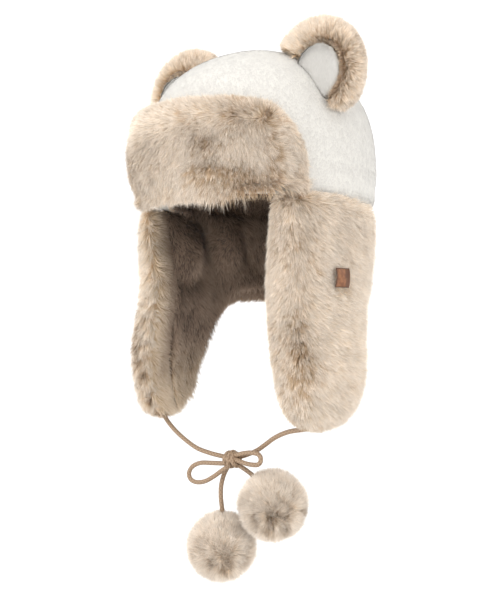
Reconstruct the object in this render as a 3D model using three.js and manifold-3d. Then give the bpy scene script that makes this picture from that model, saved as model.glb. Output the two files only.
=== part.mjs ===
// A faux fur trapper hat with bear ears, an upturned visor, long ear flaps and a tied cord with two pompoms.
// Millimetres, +Z up. The hat faces -Y and the wearer's left is +X. The origin is the centre of the head
// opening, at the height of the seam between the white crown and the beige flaps.
import * as THREE from 'three';
import { mergeVertices } from 'three/addons/utils/BufferGeometryUtils.js';
import Module from 'manifold-3d';

const wasm = await Module();
wasm.setup();

// Head opening, measured between the faces of the lining
const headWidth = 168;
const headDepth = 200;

// Padded cloth, its pile included
const liningThickness = 3;
const crownWall = 21;
const crownHeight = 157;

// Visor
const brimHeight = 90;
const brimHang = 5;
const brimFrontThickness = 26;
const brimSideShare = 0.52;
const brimTuck = 0.45;
const brimFootShare = 0.28;
const brimHalfAngle = 66;

// Flaps and nape, below the seam
const flapLength = 211;
const napeLength = 90;
const flapThickness = 35;
const flapBulge = 23;
const flapShoulder = 12;
const flapSlimming = 9;
const napeTaper = 12;
const liningInset = 13;

// Bear ears
const earRadius = 55;
const earThickness = 28;
const earDiscRadius = 25;
const earDiscOffset = 8.5;
const earRecess = 4.5;
const earSpread = 81.5;
const earCentreHeight = 117;
const earSetback = -20;
const earFootShare = 0.64;
const earFootSlope = 20;

// Leather tab
const tabWidth = 13;
const tabHeight = 16;
const tabThickness = 3;
const tabAngle = 77;
const tabDrop = 73;

// Cord, bow and pompoms
const cordDiameter = 4.5;
const knotWidth = 15;
const knotHeight = 11;
const knotDepth = 9;
const pompomRadius = 34;

// How far the fur's locks stand out
const furLock = 3.5;
const pompomLock = 4;

// Clearance between pieces that touch, and between the curved faces of lining and flaps
const gap = 0.3;
const liningClearance = 1.1;

const degrees = Math.PI / 180;

// Front edge of an ear flap: angle from the front at shares of the flap's length
const flapFront = [
  { drop: 0, angle: 48 },
  { drop: 0.2, angle: 46.5 },
  { drop: 0.36, angle: 46 },
  { drop: 0.53, angle: 46.3 },
  { drop: 0.69, angle: 47.5 },
  { drop: 0.86, angle: 51 },
  { drop: 1, angle: 56 },
];

// Lower edge from a flap's front to the middle of the nape: how much of the flap's extra length is left
const lowerEdge = [
  { along: 0, share: 0.86 },
  { along: 0.03, share: 0.95 },
  { along: 0.11, share: 1 },
  { along: 0.2, share: 0.96 },
  { along: 0.27, share: 0.86 },
  { along: 0.33, share: 0.66 },
  { along: 0.39, share: 0.38 },
  { along: 0.45, share: 0.14 },
  { along: 0.52, share: 0.02 },
  { along: 0.6, share: 0 },
  { along: 1, share: 0 },
];

// Padded form of a flap, at shares of its length: bulge is a share of flapBulge, fullness of flapThickness
const flapForm = [
  { drop: 0, bulge: 0, fullness: 0 },
  { drop: 0.15, bulge: 0.28, fullness: 0.5 },
  { drop: 0.4, bulge: 0.6, fullness: 1 },
  { drop: 0.7, bulge: 1, fullness: 1 },
  { drop: 0.9, bulge: 0.85, fullness: 0.9 },
  { drop: 1, bulge: 0.65, fullness: 0.8 },
];

// Visor from its middle to an end: top and foot are shares of its height, thickness of the local thickness
const brimOutline = [
  { along: 0, top: 1, footLeft: 0, footRight: 0, thickness: 1 },
  { along: 0.45, top: 1, footLeft: 0.01, footRight: 0.01, thickness: 1 },
  { along: 0.6, top: 0.99, footLeft: 0.03, footRight: 0.04, thickness: 1 },
  { along: 0.72, top: 0.97, footLeft: 0.06, footRight: 0.11, thickness: 0.98 },
  { along: 0.84, top: 0.82, footLeft: 0.08, footRight: 0.2, thickness: 0.9 },
  { along: 0.93, top: 0.62, footLeft: 0.1, footRight: 0.25, thickness: 0.72 },
  { along: 0.98, top: 0.42, footLeft: 0.13, footRight: 0.24, thickness: 0.45 },
  { along: 1, top: 0.34, footLeft: 0.16, footRight: 0.22, thickness: 0.2 },
];

// Reads a table's column at a position between its rows, on a smooth curve through them.
function tableAt(table, key, column, position) {
  const last = table.length - 1;
  if (position <= table[0][key]) return table[0][column];
  if (position >= table[last][key]) return table[last][column];
  const row = table.findIndex((entry) => entry[key] > position) - 1;
  const slope = (k) => {
    const before = table[Math.max(k - 1, 0)];
    const after = table[Math.min(k + 1, last)];
    return (after[column] - before[column]) / (after[key] - before[key]);
  };
  const here = table[row];
  const next = table[row + 1];
  const span = next[key] - here[key];
  const t = (position - here[key]) / span;
  const rise = 1 - (1 + 2 * t) * (1 - t) ** 2;
  const enter = t * (1 - t) ** 2 * slope(row) * span;
  const leave = t ** 2 * (t - 1) * slope(row + 1) * span;
  return here[column] * (1 - rise) + next[column] * rise + enter + leave;
}

const mix = (from, to, share) => from + (to - from) * share;
const smooth = (low, high, value) => THREE.MathUtils.smoothstep(value, low, high);
const signedPower = (value, power) => Math.sign(value) * Math.abs(value) ** power;

// A repeatable value between 0 and 1 for a lock of fur.
function lockNoise(row, column) {
  const value = Math.sin(row * 12.9898 + column * 78.233) * 43758.5453;
  return value - Math.floor(value);
}

// Turns a closed triangle mesh into a solid.
function solidFrom(positions, triangles) {
  let volume = 0;
  const corner = (k) => new THREE.Vector3().fromArray(positions, k * 3);
  for (let k = 0; k < triangles.length; k += 3) {
    volume += corner(triangles[k]).dot(corner(triangles[k + 1]).cross(corner(triangles[k + 2])));
  }
  const outward = volume > 0 ? triangles : [...triangles].reverse();
  const mesh = new wasm.Mesh({
    numProp: 3,
    vertProperties: new Float32Array(positions),
    triVerts: new Uint32Array(outward),
  });
  return new wasm.Manifold(mesh);
}

// Turns a closed three.js geometry into a solid.
function solidOf(geometry) {
  geometry.deleteAttribute('normal');
  geometry.deleteAttribute('uv');
  const merged = mergeVertices(geometry, 1e-4);
  return solidFrom([...merged.attributes.position.array], [...merged.index.array]);
}

// Skins equal closed loops of points. An end is a single point, or a loop whose two faces are laced together.
// Each quad is split away from its even corners, so that a lock raised on one of these is a peak of its own.
function skinLoops(loops) {
  const positions = [];
  const starts = loops.map((loop) => {
    const start = positions.length / 3;
    loop.forEach((point) => positions.push(point.x, point.y, point.z));
    return start;
  });
  const triangles = [];
  for (let k = 0; k + 1 < loops.length; k += 1) {
    const count = Math.max(loops[k].length, loops[k + 1].length);
    for (let i = 0; i < count; i += 1) {
      const j = (i + 1) % count;
      const here = loops[k].length > 1;
      const there = loops[k + 1].length > 1;
      const a = starts[k] + (here ? i : 0);
      const b = starts[k] + (here ? j : 0);
      const c = starts[k + 1] + (there ? j : 0);
      const d = starts[k + 1] + (there ? i : 0);
      const tipHere = (k + i) % 2 === 0;
      triangles.push(...(tipHere ? [a, b, d, b, c, d] : [a, b, c, a, c, d]));
    }
  }
  const lace = (start, count, forward) => {
    for (let i = 0; i + 1 < count / 2; i += 1) {
      const quad = [start + i, start + i + 1, start + count - 2 - i, start + count - 1 - i];
      const [a, b, c, d] = forward ? quad : quad.reverse();
      triangles.push(a, c, b);
      if (i + 1 < count / 2 - 0.5) triangles.push(a, d, c);
    }
  };
  const last = loops.length - 1;
  if (loops[0].length > 1) lace(starts[0], loops[0].length, true);
  if (loops[last].length > 1) lace(starts[last], loops[last].length, false);
  return solidFrom(positions, dropFlat(triangles));
}

// Leaves out triangles that use one corner twice.
function dropFlat(triangles) {
  const kept = [];
  for (let k = 0; k < triangles.length; k += 3) {
    const [a, b, c] = triangles.slice(k, k + 3);
    if (a !== b && b !== c && c !== a) kept.push(a, b, c);
  }
  return kept;
}

// A point on the head's oval, pushed out by a distance. The angle is in degrees from the front towards +X.
function onOval(angle, distance, height) {
  const x = (headWidth / 2 + distance) * Math.sin(angle * degrees);
  const y = -(headDepth / 2 + distance) * Math.cos(angle * degrees);
  return new THREE.Vector3(x, y, height);
}

// Layers of the wall, as distances from the face of the lining
const shellInside = liningThickness + gap;
const shellOutside = shellInside + crownWall;

// Share of the crown's width that is left at a share of its height
const domeShare = (height) => Math.max(1 - height ** 4.5, 0) ** 0.7625;

const domeAngles = Array.from({ length: 36 }, (_, k) => (k * 360) / 36);
const domeHeights = [0, 0.25, 0.46, 0.62, 0.75, 0.85, 0.93, 0.98];
const innerHeights = [0, 0.3, 0.55, 0.75, 0.9, 0.97];

// One face of the crown, from the seam up to its pole, at a distance from the face of the lining.
function domeFace(distance, seamHeight, heights) {
  const top = crownHeight - shellOutside + distance;
  const loops = heights.map((share) => {
    const height = mix(seamHeight, top, share);
    const left = domeShare(share);
    return domeAngles.map((angle) => {
      const point = onOval(angle, distance, height);
      point.x *= left;
      point.y *= left;
      return point;
    });
  });
  return [...loops, [new THREE.Vector3(0, 0, top)]];
}

// A dome with a wall between two distances from the face of the lining, open below.
function domeWall(inside, outside, seamHeight, outerHeights) {
  const inner = domeFace(inside, seamHeight, innerHeights).reverse();
  return skinLoops([...inner, ...domeFace(outside, seamHeight, outerHeights)]);
}

// Everything inside the crown's outer face and its clearance, to cut what stands on the crown.
function crownBlock() {
  const loops = domeFace(shellOutside + gap, 0, domeHeights);
  return skinLoops([[new THREE.Vector3(0, 0, 0)], ...loops]);
}

// Visor: padded sections around the front of the crown
function brimSection(share, row) {
  const along = Math.abs(share);
  const angle = share * brimHalfAngle;
  const top = brimHeight * tableAt(brimOutline, 'along', 'top', along) - brimHang;
  const footSide = share < 0 ? 'footRight' : 'footLeft';
  const foot = brimHeight * tableAt(brimOutline, 'along', footSide, along) - brimHang;
  const front = mix(1, brimSideShare, smooth(0.2, 1, along));
  const thickness = brimFrontThickness * front * tableAt(brimOutline, 'along', 'thickness', along);
  const loop = [];
  const count = 16;
  for (let k = 0; k < count; k += 1) {
    const turn = ((k + 0.5) * 360 * degrees) / count;
    const rise = 0.5 - 0.5 * signedPower(Math.cos(turn), 0.75);
    const out = 0.5 + 0.5 * signedPower(Math.sin(turn), 0.7);
    const z = mix(foot, top, rise);
    const left = domeShare(Math.max(z, 0) / crownHeight);
    const isTip = (k + row) % 2 === 0 && out > 0.55 && along < 0.97;
    const lock = isTip ? furLock * (0.6 + 0.4 * lockNoise(row, k)) : 0;
    const lie = isTip ? furLock * 0.7 : 0;
    const point = onOval(angle, shellOutside, z - lie);
    point.x *= left;
    point.y *= left;
    const outward = onOval(angle, 0, 0).normalize();
    const full = mix(brimFootShare, 1, smooth(0, brimTuck, rise));
    loop.push(point.addScaledVector(outward, gap * 2 + ((thickness - furLock) * out + lock) * full));
  }
  return loop;
}

function frontBrim() {
  const loops = [];
  const count = 36;
  for (let row = 0; row <= count; row += 1) {
    const share = Math.sin(((row / count) * 2 - 1) * 0.5 * Math.PI * 0.86) / Math.sin(0.43 * Math.PI);
    loops.push(brimSection(share, row));
  }
  return skinLoops(loops);
}

// Angle of a column of the skirt, at a share of the way from the flap's front edge to the nape
function skirtAngle(along, height) {
  const front = tableAt(flapFront, 'drop', 'angle', Math.max(-height, 0) / flapLength);
  return mix(front, 180, along);
}

// How much of a flap, and not of the nape, a column is
const flapShare = (along) => 1 - smooth(0.25, 0.62, along);

const skirtDrop = (along) => mix(napeLength, flapLength, tableAt(lowerEdge, 'along', 'share', along));

// Distances of the skirt's two faces from the face of the lining at the seam.
function skirtFaces(along, height) {
  const flap = flapShare(along);
  const drop = Math.max(-height, 0) / flapLength;
  const bulge = flapBulge * tableAt(flapForm, 'drop', 'bulge', drop) * flap;
  const extra = (flapThickness - crownWall) * tableAt(flapForm, 'drop', 'fullness', drop) * flap;
  const nape = smooth(0.55, 0.85, along);
  const taper = napeTaper * Math.min(Math.max(-height, 0) / napeLength, 1) * nape;
  const shoulder = flapShoulder * (1 - smooth(0.06, 0.4, along)) * (1 - smooth(0, 0.45, drop));
  const full = shellOutside + bulge + shoulder - taper;
  const rear = smooth(0.2, 0.45, along) * (1 - smooth(0.6, 0.8, along));
  return { outer: full - flapSlimming * rear * smooth(0.1, 0.6, drop), inner: full - crownWall - extra };
}

// Rounding of a flap's front edge, as a share of the way to the nape, and of the hem, in flap thicknesses
const frontRounding = 0.105;
const hemRounding = 0.5;

// A column of the skirt as a closed loop: down the outer face, round the hem, up the inner face.
function skirtColumn(along, side, row) {
  const length = skirtDrop(along);
  const edge = Math.min(along / frontRounding, 1);
  const fullness = Math.sqrt(Math.max(1 - (1 - edge) ** 2, 0.02));
  const hem = Math.min(flapThickness * hemRounding, length * 0.3);
  const faceRows = 11;
  const hemRows = 3;
  const outerFace = [];
  const innerFace = [];
  for (let k = 0; k <= faceRows + hemRows; k += 1) {
    const turn = Math.max(k - faceRows, 0) / (hemRows + 0.35);
    const depth = mix(gap, length - hem, Math.min(k / faceRows, 1)) + hem * Math.sin(turn * 90 * degrees);
    const open = Math.cos(turn * 90 * degrees) * fullness;
    const { outer, inner } = skirtFaces(along, -depth);
    const middle = (outer + inner) / 2;
    const half = ((outer - inner) / 2) * open;
    const isTip = (k + row) % 2 === 0 && k > 0 && k < faceRows + hemRows && edge > 0.3;
    const lock = isTip ? furLock * (0.5 + 0.5 * lockNoise(row, k)) : 0;
    const lie = isTip ? furLock * 1.2 : 0;
    const angle = side * skirtAngle(along, -depth);
    outerFace.push(onOval(angle, middle + half + lock - furLock * 0.5, -depth - lie));
    innerFace.push(onOval(angle, middle - half, -depth));
  }
  return [...outerFace, ...innerFace.reverse()];
}

// Shares of the way from a flap's front edge to the nape, closer together where the flap ends
const skirtStations = [
  0, 0.012, 0.03, 0.055, 0.085, 0.12, 0.16, 0.2, 0.24, 0.28, 0.315, 0.35, 0.385, 0.42, 0.46, 0.5, 0.55, 0.61,
  0.68, 0.76, 0.84, 0.92,
];

// The columns of both sides in one row, from one flap's front edge round the nape to the other's
const skirtColumns = [
  ...skirtStations.map((along) => ({ along, side: -1 })),
  { along: 1, side: 1 },
  ...skirtStations.map((along) => ({ along, side: 1 })).reverse(),
];

function flapSkirt() {
  return skinLoops(skirtColumns.map(({ along, side }, row) => skirtColumn(along, side, row)));
}

// The lining's skirt lies on the inner face of the flaps and the nape and stops short of their edges.
function liningColumn(along, side) {
  const length = skirtDrop(along) - liningInset;
  const faceRows = 8;
  const far = [];
  const near = [];
  for (let k = 0; k <= faceRows; k += 1) {
    const height = mix(gap, -length, k / faceRows);
    const { inner } = skirtFaces(along, height);
    const angle = side * skirtAngle(along, height);
    far.push(onOval(angle, inner - liningClearance, height));
    near.push(onOval(angle, inner - liningClearance - liningThickness, height));
  }
  return [...far, ...near.reverse()];
}

function hatLining() {
  const columns = skirtColumns.filter(({ along }) => along > frontRounding);
  const skirt = skinLoops(columns.map(({ along, side }) => liningColumn(along, side)));
  return domeWall(0, liningThickness, 0, innerHeights).add(skirt);
}

// Bear ear: a padded ring with a shallow well in front, turned about the ear's own axis
function earRing() {
  const half = earThickness / 2;
  const wellRadius = earDiscRadius + gap;
  const rim = earRadius - wellRadius;
  const profile = [
    { radius: 0, depth: -half + earRecess, offset: 1 },
    { radius: wellRadius, depth: -half + earRecess, offset: 1 },
    { radius: wellRadius, depth: -half + earRecess * 0.35, offset: 1 },
    { radius: wellRadius + rim * 0.18, depth: -half, offset: 0.85 },
    { radius: wellRadius + rim * 0.6, depth: -half * 0.9, offset: 0.4 },
    { radius: wellRadius + rim * 0.9, depth: -half * 0.55, offset: 0.1 },
    { radius: earRadius, depth: 0, offset: 0 },
    { radius: wellRadius + rim * 0.9, depth: half * 0.55, offset: 0.1 },
    { radius: wellRadius + rim * 0.5, depth: half * 0.9, offset: 0.5 },
    { radius: earRadius * 0.4, depth: half, offset: 0.6 },
    { radius: 0, depth: half, offset: 0.6 },
  ];
  const sides = 36;
  const loops = profile.map(({ radius, depth, offset }, row) => {
    const middle = offset * earDiscOffset;
    if (radius === 0) return [new THREE.Vector3(middle, depth, 0)];
    return Array.from({ length: sides }, (_, k) => {
      const isFur = radius > wellRadius;
      const isTip = isFur && (k + row) % 2 === 0;
      const reach = radius - (isFur && !isTip ? furLock * 0.6 : 0);
      const turn = ((k + (isTip ? 0.25 : 0)) * 360 * degrees) / sides;
      return new THREE.Vector3(middle + reach * Math.cos(turn), depth, reach * Math.sin(turn));
    });
  });
  return skinLoops(loops);
}

// The white disc of an ear is a low cushion in the ring's well.
function earDisc() {
  const back = -earThickness / 2 + earRecess - gap;
  const thickness = earRecess * 0.8;
  const profile = [
    { radius: 0, rise: 0 },
    { radius: earDiscRadius, rise: 0 },
    { radius: earDiscRadius, rise: 0.45 },
    { radius: earDiscRadius * 0.8, rise: 0.85 },
    { radius: earDiscRadius * 0.45, rise: 1 },
    { radius: 0, rise: 1 },
  ];
  const points = profile.map(({ radius, rise }) => new THREE.Vector2(radius, rise * thickness));
  const disc = new THREE.LatheGeometry(points, 28);
  disc.rotateX(Math.PI);
  disc.translate(earDiscOffset, back, 0);
  return solidOf(disc);
}

// An ear ends low on its outer side in a slanted foot, and stands on the crown along the rest of its edge.
function earFoot() {
  const size = earRadius * 4;
  const block = new THREE.BoxGeometry(size, size, size);
  block.translate(0, 0, -size / 2);
  block.rotateY(-earFootSlope * degrees);
  block.translate(earRadius * 0.5, 0, -earRadius * earFootShare);
  return solidOf(block);
}

function placeEar(solid, side) {
  const footed = solid.subtract(earFoot());
  const mirrored = side > 0 ? footed : footed.mirror([1, 0, 0]);
  return mirrored.translate([side * earSpread, earSetback, earCentreHeight]).subtract(crownBlock());
}

// Frame of the leather tab on the left flap: where it lies and which way it faces
const tabFront = skirtAngle(0, -tabDrop);
const tabAlong = (tabAngle - tabFront) / (180 - tabFront);
const tabSurface = skirtFaces(tabAlong, -tabDrop).outer - furLock * 0.5;
const tabPlace = onOval(tabAngle, tabSurface, -tabDrop);
const tabFacing = new THREE.Vector3(Math.sin(tabAngle * degrees), -Math.cos(tabAngle * degrees), 0);

// The tab is a folded strip: a flat leaf with a rolled edge along its rear side.
function tabSolid(clearance) {
  const bend = tabThickness * 0.9;
  const outline = new THREE.Shape();
  const halfWidth = tabWidth / 2 + clearance;
  const back = -tabThickness / 2 - clearance;
  const front = tabThickness / 2 + clearance;
  outline.moveTo(-halfWidth, back);
  outline.lineTo(halfWidth, back);
  outline.absarc(halfWidth - bend, front + clearance, bend, 0, Math.PI * 0.75, false);
  outline.lineTo(-halfWidth, front);
  outline.closePath();
  const depth = tabHeight + clearance * 2;
  const geometry = new THREE.ExtrudeGeometry(outline, { depth, bevelEnabled: false, curveSegments: 6 });
  geometry.translate(0, 0, -depth / 2);
  const across = new THREE.Vector3(-tabFacing.y, tabFacing.x, 0);
  const down = new THREE.Vector3(0, 0, -1);
  const frame = new THREE.Matrix4().makeBasis(across, tabFacing, down);
  geometry.applyMatrix4(frame.setPosition(tabPlace));
  return solidOf(geometry);
}

// Routes of the cord, chosen by hand, as x, y, z
const bowPlace = new THREE.Vector3(0, -46, -245);

const cordRoutes = {
  chin_cord_right: [
    [-95, -47, -199], [-91.5, -48, -208], [-83, -48, -217], [-71, -48, -225.5], [-57, -48, -233],
    [-43, -48, -238.5], [-27, -46, -242], [-14, -45, -243.5], [-2, -45, -245],
  ],
  chin_cord_left: [
    [104, -44, -200], [97, -46, -207.5], [85, -47, -210.5], [72, -47, -213], [60, -46, -217],
    [49, -44, -222], [38, -42, -228.5], [27, -41.5, -235], [14, -43, -240.5], [2, -45, -244],
  ],
  bow_loop_right: [
    [-1, -47, -249], [-12, -48, -250], [-25, -48.5, -250.8], [-39, -49, -252], [-49.5, -49.5, -256.5],
    [-54.5, -49.5, -263.5], [-52, -49.5, -269.5], [-44, -49.5, -271.5], [-33, -49.5, -269.5],
    [-22, -49, -264], [-12, -48.5, -257.5], [-2, -47.5, -251],
  ],
  bow_loop_left: [
    [1, -47, -241.5], [10, -49, -239.5], [20, -50.5, -236.8], [30, -51.5, -235.8], [37, -52, -237.2],
    [39, -52.5, -240.6], [35.5, -52.5, -244.2], [27, -52, -245.8], [18, -51, -245.2], [9, -49.5, -243.8],
    [2, -47.5, -243.5],
  ],
  tail_cord_right: [
    [-3, -44, -248], [-10, -40, -253], [-15.5, -40.5, -262], [-17, -43, -273], [-15.5, -45, -284],
    [-13, -46, -295], [-13, -46, -305],
  ],
  tail_cord_left: [
    [4, -45, -249], [13, -43, -253.5], [21, -40, -259], [29, -36, -265.5], [34, -33, -272],
  ],
};

// Pompoms hang from the free ends of the cord.
const pompoms = [
  { name: 'pompom_right', cord: 'tail_cord_right', centre: new THREE.Vector3(-13, -46, -331) },
  { name: 'pompom_left', cord: 'tail_cord_left', centre: new THREE.Vector3(39, -31, -287) },
];

// What is left of a cord outside the knot; scraps between the wraps are dropped.
function outsideKnot(cord) {
  const pieces = cord.subtract(knotSolid(gap)).decompose();
  return pieces.sort((one, other) => other.volume() - one.volume())[0];
}

function cordSolid(route, clearance) {
  const curve = new THREE.CatmullRomCurve3(route.map((point) => new THREE.Vector3(...point)));
  const radius = cordDiameter / 2 + clearance;
  const section = new THREE.Shape();
  const sides = 8;
  for (let k = 0; k < sides; k += 1) {
    const turn = (k * 2 * Math.PI) / sides;
    const move = k === 0 ? 'moveTo' : 'lineTo';
    section[move](radius * Math.cos(turn), radius * Math.sin(turn));
  }
  section.closePath();
  const steps = Math.round(curve.getLength() / (cordDiameter * 2.2));
  return solidOf(new THREE.ExtrudeGeometry(section, { steps, extrudePath: curve, bevelEnabled: false }));
}

// Turns of cord around the knot's core: side is a share of its width, lean is in degrees
const knotWraps = [
  { side: -0.18, lean: 12 },
  { side: 0.2, lean: -10 },
];

// The knot is a rounded core with wraps of cord around it.
function knotSolid(clearance) {
  const core = new THREE.SphereGeometry(0.5, 12, 8);
  core.rotateX(Math.PI / 2);
  core.scale(knotWidth + 2 * clearance, knotDepth + 2 * clearance, knotHeight + 2 * clearance);
  let knot = solidOf(core);
  knotWraps.forEach(({ side, lean }) => {
    const ring = new THREE.TorusGeometry(knotHeight / 2, cordDiameter / 2 + clearance, 5, 12);
    ring.rotateY(Math.PI / 2);
    ring.scale(1, knotDepth / knotHeight, 1);
    ring.rotateY(lean * degrees);
    ring.translate(side * knotWidth, 0, 0);
    knot = knot.add(solidOf(ring));
  });
  return knot.translate(bowPlace.toArray());
}

// A ball of fur: each face of a fine icosahedron carries one blunt lock.
function pompomBall() {
  const ball = new THREE.IcosahedronGeometry(pompomRadius - pompomLock, 2);
  const corners = ball.attributes.position;
  const positions = [];
  for (let face = 0; face < corners.count; face += 3) {
    const [a, b, c] = [0, 1, 2].map((k) => new THREE.Vector3().fromBufferAttribute(corners, face + k));
    const tip = new THREE.Vector3().add(a).add(b).add(c);
    tip.setLength(pompomRadius - pompomLock * 0.5 * lockNoise(face, 1));
    [a, b, tip, b, c, tip, c, a, tip].forEach((point) => positions.push(point.x, point.y, point.z));
  }
  const geometry = new THREE.BufferGeometry();
  geometry.setAttribute('position', new THREE.Float32BufferAttribute(positions, 3));
  return solidOf(geometry);
}

// Colours and finishes
const material = (color, roughness) => new THREE.MeshStandardMaterial({ color, roughness, metalness: 0 });
const whitePlush = material('#f3efe9', 0.95);
const beigeFur = material('#cfbca5', 0.95);
const taupePlush = material('#4f4036', 0.95);
const brownLeather = material('#93684b', 0.6);
const tanCord = material('#b29a82', 0.8);

const hat = new THREE.Group();
hat.name = 'faux_fur_trapper_hat';

function addPiece(name, solid, finish) {
  const { numProp, vertProperties, triVerts } = solid.getMesh();
  const positions = new Float32Array((vertProperties.length / numProp) * 3);
  for (let k = 0; k < positions.length / 3; k += 1) {
    positions.set(vertProperties.subarray(k * numProp, k * numProp + 3), k * 3);
  }
  const geometry = new THREE.BufferGeometry();
  geometry.setAttribute('position', new THREE.BufferAttribute(positions, 3));
  geometry.setIndex(new THREE.BufferAttribute(new Uint32Array(triVerts), 1));
  geometry.computeVertexNormals();
  const mesh = new THREE.Mesh(geometry, finish);
  mesh.name = name;
  hat.add(mesh);
}

addPiece('crown_shell', domeWall(shellInside, shellOutside, gap, domeHeights), whitePlush);
addPiece('hat_lining', hatLining(), taupePlush);
addPiece('front_brim', frontBrim(), beigeFur);

const cordSockets = [cordRoutes.chin_cord_left, cordRoutes.chin_cord_right];
let skirt = flapSkirt().subtract(tabSolid(gap));
cordSockets.forEach((route) => {
  skirt = skirt.subtract(cordSolid(route, gap));
});
addPiece('flap_skirt', skirt, beigeFur);
addPiece('leather_tab', tabSolid(0), brownLeather);

[
  ['left', 1],
  ['right', -1],
].forEach(([name, side]) => {
  addPiece(`ear_${name}`, placeEar(earRing(), side), beigeFur);
  addPiece(`ear_inner_${name}`, placeEar(earDisc(), side), whitePlush);
});

addPiece('bow_knot', knotSolid(0), tanCord);

Object.entries(cordRoutes).forEach(([name, route]) => {
  addPiece(name, outsideKnot(cordSolid(route, 0)), tanCord);
});

pompoms.forEach(({ name, cord, centre }) => {
  const ball = pompomBall().translate(centre.toArray());
  addPiece(name, ball.subtract(cordSolid(cordRoutes[cord], gap)), beigeFur);
});

export default hat;
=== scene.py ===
import math

import bmesh
import bpy
import numpy as np
from mathutils import Matrix, Vector
from mathutils.bvhtree import BVHTree
from mathutils.kdtree import KDTree


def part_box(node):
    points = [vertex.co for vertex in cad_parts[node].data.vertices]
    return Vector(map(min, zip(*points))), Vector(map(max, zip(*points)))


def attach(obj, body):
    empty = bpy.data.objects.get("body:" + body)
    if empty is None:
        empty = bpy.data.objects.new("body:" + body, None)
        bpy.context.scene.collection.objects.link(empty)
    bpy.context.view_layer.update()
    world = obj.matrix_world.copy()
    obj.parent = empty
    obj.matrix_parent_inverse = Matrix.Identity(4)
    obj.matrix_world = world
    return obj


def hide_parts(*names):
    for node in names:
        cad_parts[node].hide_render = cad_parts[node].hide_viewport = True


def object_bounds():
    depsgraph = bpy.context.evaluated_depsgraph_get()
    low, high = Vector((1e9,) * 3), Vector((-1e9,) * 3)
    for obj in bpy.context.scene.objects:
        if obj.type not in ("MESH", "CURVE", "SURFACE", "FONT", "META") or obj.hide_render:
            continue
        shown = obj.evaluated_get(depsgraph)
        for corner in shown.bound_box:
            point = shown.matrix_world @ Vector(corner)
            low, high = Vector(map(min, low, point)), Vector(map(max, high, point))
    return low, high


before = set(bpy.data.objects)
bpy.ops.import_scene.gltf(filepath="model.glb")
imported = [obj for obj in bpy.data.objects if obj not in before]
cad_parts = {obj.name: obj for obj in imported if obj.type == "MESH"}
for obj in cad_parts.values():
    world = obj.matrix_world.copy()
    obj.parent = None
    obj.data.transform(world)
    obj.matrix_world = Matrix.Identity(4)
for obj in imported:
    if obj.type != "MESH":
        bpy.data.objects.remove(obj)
cad_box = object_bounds()

# The head opening between the faces of the lining, and how far the lining and the visor lie from its middle
HEAD_HALF_WIDTH = 0.084
HEAD_HALF_DEPTH = 0.100
LINING_RADIUS = 0.092
BRIM_RADIUS = 0.125
# The angle from the front, in degrees, at which the flaps end and the nape starts
NAPE_ANGLE = 118
CORD_DIAMETER = 0.0045

# The photograph's camera: to the wearer's left of straight ahead, at the height of the flaps' middle
CAMERA_AZIMUTH = math.radians(40)
CAMERA_DISTANCE = 0.936
CAMERA_HEIGHT = -0.115
IMAGE_WIDTH, IMAGE_HEIGHT = 500, 594
FOCAL_PIXELS = 936
AXIS_PIXEL = (262.8, 324)


def linear(code):
    """Turns an sRGB hex colour into the linear colour that a shader takes."""
    parts = [int(code[k : k + 2], 16) / 255 for k in (1, 3, 5)]
    return [c / 12.92 if c <= 0.04045 else ((c + 0.055) / 1.055) ** 2.4 for c in parts] + [1]


def add_node(tree, kind, links=None, **settings):
    """Adds a shader node. Settings name its properties or inputs, and links its inputs' sources."""
    node = tree.nodes.new(kind)
    for key, value in settings.items():
        if hasattr(node, key):
            setattr(node, key, value)
        else:
            node.inputs[key.replace("_", " ")].default_value = value
    for key, source in (links or {}).items():
        tree.links.new(source, node.inputs[key])
    return node


def new_material(name, roughness, sheen=0.0):
    """A Principled material. Returns it with its tree and shader."""
    material = bpy.data.materials.new(name)
    material.use_nodes = True
    shader = material.node_tree.nodes["Principled BSDF"]
    shader.inputs["Roughness"].default_value = roughness
    shader.inputs["Sheen Weight"].default_value = sheen
    return material, material.node_tree, shader


# Camera


def make_camera():
    camera = bpy.data.objects.new("camera", bpy.data.cameras.new("camera"))
    bpy.context.scene.collection.objects.link(camera)
    back = Vector((math.sin(CAMERA_AZIMUTH), -math.cos(CAMERA_AZIMUTH), 0))
    camera.location = back * CAMERA_DISTANCE + Vector((0, 0, CAMERA_HEIGHT))
    camera.rotation_euler = back.to_track_quat("Z", "Y").to_euler()
    long_side = max(IMAGE_WIDTH, IMAGE_HEIGHT)
    camera.data.lens = FOCAL_PIXELS / long_side * camera.data.sensor_width
    camera.data.shift_x = (IMAGE_WIDTH / 2 - AXIS_PIXEL[0]) / long_side
    camera.data.shift_y = (AXIS_PIXEL[1] - IMAGE_HEIGHT / 2) / long_side
    bpy.context.scene.camera = camera


make_camera()


# Meshes


def new_piece(name, mesh, material):
    """Makes an object of a mesh whose place is already in it, and lets it ride with the hat."""
    piece = bpy.data.objects.new(name, mesh)
    bpy.context.scene.collection.objects.link(piece)
    mesh.materials.clear()
    mesh.materials.append(material)
    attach(piece, "root")
    return piece


def mesh_of(form, name):
    """Turns a finished bmesh into a mesh and frees it."""
    mesh = bpy.data.meshes.new(name)
    form.to_mesh(mesh)
    form.free()
    return mesh


def box_of(node):
    """The low and the high corner of a CAD node's box."""
    return [np.array(corner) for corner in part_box(node)]


def tree_of(points):
    """A search tree in which each point is found under its place in the list."""
    tree = KDTree(len(points))
    for place, point in enumerate(points):
        tree.insert(point, place)
    tree.balance()
    return tree


def finished_mesh(scratch):
    """The mesh of an object with its modifiers applied. The object itself is removed."""
    bpy.context.view_layer.update()
    graph = bpy.context.evaluated_depsgraph_get()
    mesh = bpy.data.meshes.new_from_object(scratch.evaluated_get(graph), depsgraph=graph)
    bpy.data.objects.remove(scratch)
    return mesh


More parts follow.
